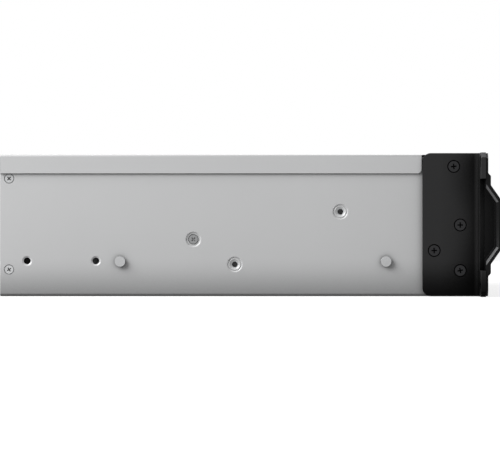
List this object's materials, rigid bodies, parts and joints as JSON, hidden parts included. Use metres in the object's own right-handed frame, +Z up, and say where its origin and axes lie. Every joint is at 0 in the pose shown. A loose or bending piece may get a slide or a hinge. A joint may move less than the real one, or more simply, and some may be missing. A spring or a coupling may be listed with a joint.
{
  "type": "rackmount storage server",
  "caption": "Short two-unit rack storage server: grey sheet-metal case, black ears with trapezoid handles, hot-swap drive trays, sliding lid, rear fans and ports.",
  "frame": {"origin": "centre of the four rack slots, on the rear face of the ear flanges", "axes": "+X to the right seen from the front, -Y out of the front, +Z up"},
  "size_m": [0.4826, 0.3131, 0.088],
  "materials": {
    "case_grey": "smooth light grey powder coat",
    "ear_black": "satin black powder coat",
    "handle_black": "satin moulded plastic",
    "screw_black": "blackened steel",
    "zinc": "zinc plated",
    "galvanised": "galvanised sheet",
    "tray_black": "fine moulded grain",
    "lever_grey": "satin moulded plastic",
    "release_grey": "satin moulded plastic",
    "drive_metal": "cast and stamped",
    "board_green": "solder mask",
    "fan_black": "moulded",
    "lamp_clear": "clear moulded plastic",
    "port_metal": "plated shells",
    "inlet_black": "moulded",
    "sink_metal": "extruded",
    "button_grey": "moulded"
  },
  "bodies": {
    "chassis": {"chassis_base": "case_grey", "drive_cage": "galvanised", "front_frame": "ear_black", "backplane": "board_green", "rear_panel": "galvanised", "ear_left": "ear_black", "ear_right": "ear_black", "handle_left": "handle_black", "handle_right": "handle_black", "ear_screws": "screw_black", "chassis_screws": "zinc", "rail_studs": "zinc", "fan_frames": "fan_black", "power_supply": "galvanised", "power_inlet": "inlet_black", "mainboard": "board_green", "heatsink": "sink_metal", "memory_modules": "board_green", "port_block": "port_metal", "slot_cover": "galvanised", "light_pipes": "lamp_clear"},
    "lid": {"lid": "case_grey"},
    "thumbscrew_left": {"lid_thumbscrew_left": "zinc"},
    "thumbscrew_right": {"lid_thumbscrew_right": "zinc"},
    "fan_left": {"fan_rotor_left": "fan_black"},
    "fan_right": {"fan_rotor_right": "fan_black"},
    "psu_fan": {"psu_fan_rotor": "fan_black"},
    "power_button": {"power_button": "button_grey"},
    "tray_1": {"tray_1": "tray_black", "drive_1": "drive_metal"},
    "latch_1": {"latch_1": "lever_grey"},
    "release_1": {"release_1": "release_grey"},
    "tray_2": {"tray_2": "tray_black", "drive_2": "drive_metal"},
    "latch_2": {"latch_2": "lever_grey"},
    "release_2": {"release_2": "release_grey"},
    "tray_3": {"tray_3": "tray_black", "drive_3": "drive_metal"},
    "latch_3": {"latch_3": "lever_grey"},
    "release_3": {"release_3": "release_grey"},
    "tray_4": {"tray_4": "tray_black", "drive_4": "drive_metal"},
    "latch_4": {"latch_4": "lever_grey"},
    "release_4": {"release_4": "release_grey"},
    "tray_5": {"tray_5": "tray_black", "drive_5": "drive_metal"},
    "latch_5": {"latch_5": "lever_grey"},
    "release_5": {"release_5": "release_grey"},
    "tray_6": {"tray_6": "tray_black", "drive_6": "drive_metal"},
    "latch_6": {"latch_6": "lever_grey"},
    "release_6": {"release_6": "release_grey"},
    "tray_7": {"tray_7": "tray_black", "drive_7": "drive_metal"},
    "latch_7": {"latch_7": "lever_grey"},
    "release_7": {"release_7": "release_grey"},
    "tray_8": {"tray_8": "tray_black", "drive_8": "drive_metal"},
    "latch_8": {"latch_8": "lever_grey"},
    "release_8": {"release_8": "release_grey"}
  },
  "joints": [
    {"name": "fan_left_spin", "type": "hinge", "parent": "chassis", "child": "fan_left", "pos_m": [-0.025, 0.2794, -0.0005], "axis": [0, -1, 0], "continuous": true},
    {"name": "fan_right_spin", "type": "hinge", "parent": "chassis", "child": "fan_right", "pos_m": [0.06, 0.2794, -0.0005], "axis": [0, -1, 0], "continuous": true},
    {"name": "psu_fan_spin", "type": "hinge", "parent": "chassis", "child": "psu_fan", "pos_m": [0.145, 0.2804, -0.0098], "axis": [0, -1, 0], "continuous": true},
    {"name": "lid_slide", "type": "slide", "parent": "chassis", "child": "lid", "axis": [0, 1, 0], "range_m": [0, 0.262]},
    {"name": "thumbscrew_left_turn", "type": "hinge", "parent": "lid", "child": "thumbscrew_left", "pos_m": [-0.19, 0.2944, 0.0373], "axis": [0, -1, 0], "range_deg": [0, 720]},
    {"name": "thumbscrew_right_turn", "type": "hinge", "parent": "lid", "child": "thumbscrew_right", "pos_m": [0.19, 0.2944, 0.0373], "axis": [0, -1, 0], "range_deg": [0, 720]},
    {"name": "power_button_press", "type": "slide", "parent": "chassis", "child": "power_button", "axis": [0, 1, 0], "range_m": [0, 0.0015], "stiffness_N_per_m": 600},
    {"name": "tray_1_slide", "type": "slide", "parent": "chassis", "child": "tray_1", "axis": [0, -1, 0], "range_m": [0, 0.16]},
    {"name": "latch_1_hinge", "type": "hinge", "parent": "tray_1", "child": "latch_1", "pos_m": [-0.204, -0.0017, -0.0253], "axis": [0, 0, -1], "range_deg": [0, 60]},
    {"name": "release_1_press", "type": "slide", "parent": "tray_1", "child": "release_1", "axis": [0, 1, 0], "range_m": [0, 0.0015], "stiffness_N_per_m": 400},
    {"name": "tray_2_slide", "type": "slide", "parent": "chassis", "child": "tray_2", "axis": [0, -1, 0], "range_m": [0, 0.16]},
    {"name": "latch_2_hinge", "type": "hinge", "parent": "tray_2", "child": "latch_2", "pos_m": [-0.09803, -0.0017, -0.0253], "axis": [0, 0, -1], "range_deg": [0, 60]},
    {"name": "release_2_press", "type": "slide", "parent": "tray_2", "child": "release_2", "axis": [0, 1, 0], "range_m": [0, 0.0015], "stiffness_N_per_m": 400},
    {"name": "tray_3_slide", "type": "slide", "parent": "chassis", "child": "tray_3", "axis": [0, -1, 0], "range_m": [0, 0.16]},
    {"name": "latch_3_hinge", "type": "hinge", "parent": "tray_3", "child": "latch_3", "pos_m": [0.00795, -0.0017, -0.0253], "axis": [0, 0, -1], "range_deg": [0, 60]},
    {"name": "release_3_press", "type": "slide", "parent": "tray_3", "child": "release_3", "axis": [0, 1, 0], "range_m": [0, 0.0015], "stiffness_N_per_m": 400},
    {"name": "tray_4_slide", "type": "slide", "parent": "chassis", "child": "tray_4", "axis": [0, -1, 0], "range_m": [0, 0.16]},
    {"name": "latch_4_hinge", "type": "hinge", "parent": "tray_4", "child": "latch_4", "pos_m": [0.11392, -0.0017, -0.0253], "axis": [0, 0, -1], "range_deg": [0, 60]},
    {"name": "release_4_press", "type": "slide", "parent": "tray_4", "child": "release_4", "axis": [0, 1, 0], "range_m": [0, 0.0015], "stiffness_N_per_m": 400},
    {"name": "tray_5_slide", "type": "slide", "parent": "chassis", "child": "tray_5", "axis": [0, -1, 0], "range_m": [0, 0.16]},
    {"name": "latch_5_hinge", "type": "hinge", "parent": "tray_5", "child": "latch_5", "pos_m": [-0.204, -0.0017, 0.0097], "axis": [0, 0, -1], "range_deg": [0, 60]},
    {"name": "release_5_press", "type": "slide", "parent": "tray_5", "child": "release_5", "axis": [0, 1, 0], "range_m": [0, 0.0015], "stiffness_N_per_m": 400},
    {"name": "tray_6_slide", "type": "slide", "parent": "chassis", "child": "tray_6", "axis": [0, -1, 0], "range_m": [0, 0.16]},
    {"name": "latch_6_hinge", "type": "hinge", "parent": "tray_6", "child": "latch_6", "pos_m": [-0.09803, -0.0017, 0.0097], "axis": [0, 0, -1], "range_deg": [0, 60]},
    {"name": "release_6_press", "type": "slide", "parent": "tray_6", "child": "release_6", "axis": [0, 1, 0], "range_m": [0, 0.0015], "stiffness_N_per_m": 400},
    {"name": "tray_7_slide", "type": "slide", "parent": "chassis", "child": "tray_7", "axis": [0, -1, 0], "range_m": [0, 0.16]},
    {"name": "latch_7_hinge", "type": "hinge", "parent": "tray_7", "child": "latch_7", "pos_m": [0.00795, -0.0017, 0.0097], "axis": [0, 0, -1], "range_deg": [0, 60]},
    {"name": "release_7_press", "type": "slide", "parent": "tray_7", "child": "release_7", "axis": [0, 1, 0], "range_m": [0, 0.0015], "stiffness_N_per_m": 400},
    {"name": "tray_8_slide", "type": "slide", "parent": "chassis", "child": "tray_8", "axis": [0, -1, 0], "range_m": [0, 0.16]},
    {"name": "latch_8_hinge", "type": "hinge", "parent": "tray_8", "child": "latch_8", "pos_m": [0.11392, -0.0017, 0.0097], "axis": [0, 0, -1], "range_deg": [0, 60]},
    {"name": "release_8_press", "type": "slide", "parent": "tray_8", "child": "release_8", "axis": [0, 1, 0], "range_m": [0, 0.0015], "stiffness_N_per_m": 400}
  ]
}
